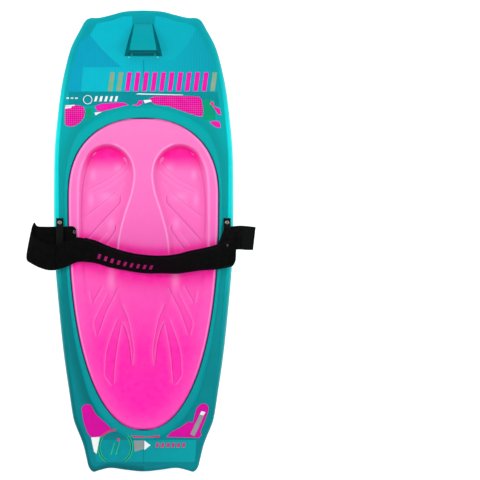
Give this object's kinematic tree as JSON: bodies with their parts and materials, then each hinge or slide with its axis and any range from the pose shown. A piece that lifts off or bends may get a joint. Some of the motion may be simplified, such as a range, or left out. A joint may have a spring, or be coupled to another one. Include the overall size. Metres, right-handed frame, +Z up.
{
  "type": "kneeboard",
  "caption": "Moulded water-sports kneeboard with a contoured foam knee pad, a padded thigh strap on side brackets, a tow hook at the nose and fins underneath.",
  "frame": {"origin": "middle of the flat bottom, under the middle of the whole board and strap", "axes": "+Y towards the nose, +X to the kneeling rider's right, +Z up out of the deck"},
  "size_m": [0.629, 1.27, 0.169],
  "materials": {
    "shell": "satin",
    "core": "matte",
    "pad": "matte",
    "strap": "matte",
    "padding": "matte",
    "bracket": "satin",
    "plug": "matte",
    "steel": "polished",
    "brass": "satin"
  },
  "bodies": {
    "board": {"hull_shell": "shell", "foam_core": "core", "fill_plug": "plug", "knee_pad": "pad", "left_bracket": "bracket", "right_bracket": "bracket", "left_front_screw": "steel", "left_rear_screw": "steel", "right_front_screw": "steel", "right_rear_screw": "steel", "left_front_insert": "brass", "left_rear_insert": "brass", "right_front_insert": "brass", "right_rear_insert": "brass", "left_padding_end": "padding", "right_padding_end": "padding", "left_strap_loop": "strap", "right_strap_end": "strap", "right_anchor_loop": "strap", "strap_rivet": "steel", "tab_eyelet": "steel"},
    "thigh_strap": {"strap_webbing": "strap", "strap_padding": "padding"},
    "strap_tail": {"lock_flap": "strap", "lock_flap_patch": "strap"}
  },
  "joints": [
    {"name": "strap_swing", "type": "hinge", "parent": "board", "child": "thigh_strap", "pos_m": [0, 0, 0.0815], "axis": [1, 0, 0], "range_deg": [-100, 5]},
    {"name": "tail_lift", "type": "hinge", "parent": "board", "child": "strap_tail", "pos_m": [0.266, 0.006, 0.0745], "axis": [0, -1, 0], "range_deg": [-80, 90]}
  ]
}
